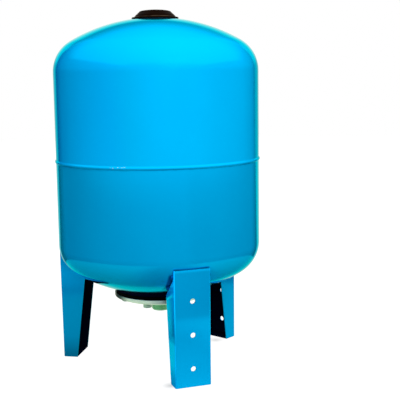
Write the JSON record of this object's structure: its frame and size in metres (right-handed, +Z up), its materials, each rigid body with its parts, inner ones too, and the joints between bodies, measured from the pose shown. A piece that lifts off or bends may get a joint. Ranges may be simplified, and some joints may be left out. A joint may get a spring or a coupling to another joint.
{
  "type": "well pressure tank",
  "caption": "Upright well pressure tank: welded steel shells round a rubber bladder, air valve under a top cover, flanged water nipple underneath, folded steel legs with bolt holes.",
  "frame": {"origin": "on the tank's axis, on the floor under the feet", "axes": "+Z up along the tank's axis; the front leg stands on -Y, the others 120 degrees on either side"},
  "size_m": [0.3634, 0.3632, 0.6252],
  "materials": {
    "tank_paint": "glossy sky-blue powder coat",
    "leg_paint": "glossy sky-blue powder coat, thin and dark inside the folds",
    "neck_paint": "blue powder coat",
    "bladder_rubber": "matt black EPDM",
    "flange_zinc": "zinc plated pressed steel",
    "nipple_zinc": "zinc plated threaded steel",
    "bolt_zinc": "zinc plated steel",
    "boss_steel": "blue powder coat",
    "valve_brass": "turned brass",
    "gasket_rubber": "matt black",
    "cap_plastic": "matt black",
    "cover_plastic": "smooth black moulded plastic"
  },
  "bodies": {
    "root": {"upper_shell": "tank_paint", "lower_shell": "tank_paint", "girth_weld": "tank_paint", "neck_ring": "neck_paint", "neck_weld": "neck_paint", "front_leg": "leg_paint", "left_leg": "leg_paint", "right_leg": "leg_paint", "leg_welds": "leg_paint", "bladder": "bladder_rubber", "counter_flange": "flange_zinc", "water_nipple": "nipple_zinc", "nipple_weld": "nipple_zinc", "flange_bolts": "bolt_zinc", "spring_washers": "bolt_zinc", "valve_boss": "boss_steel", "boss_weld": "tank_paint", "valve_stem": "valve_brass", "valve_core": "valve_brass", "stem_gasket": "gasket_rubber", "stem_nut": "valve_brass", "dust_cap": "cap_plastic", "valve_cover": "cover_plastic"}
  },
  "joints": []
}
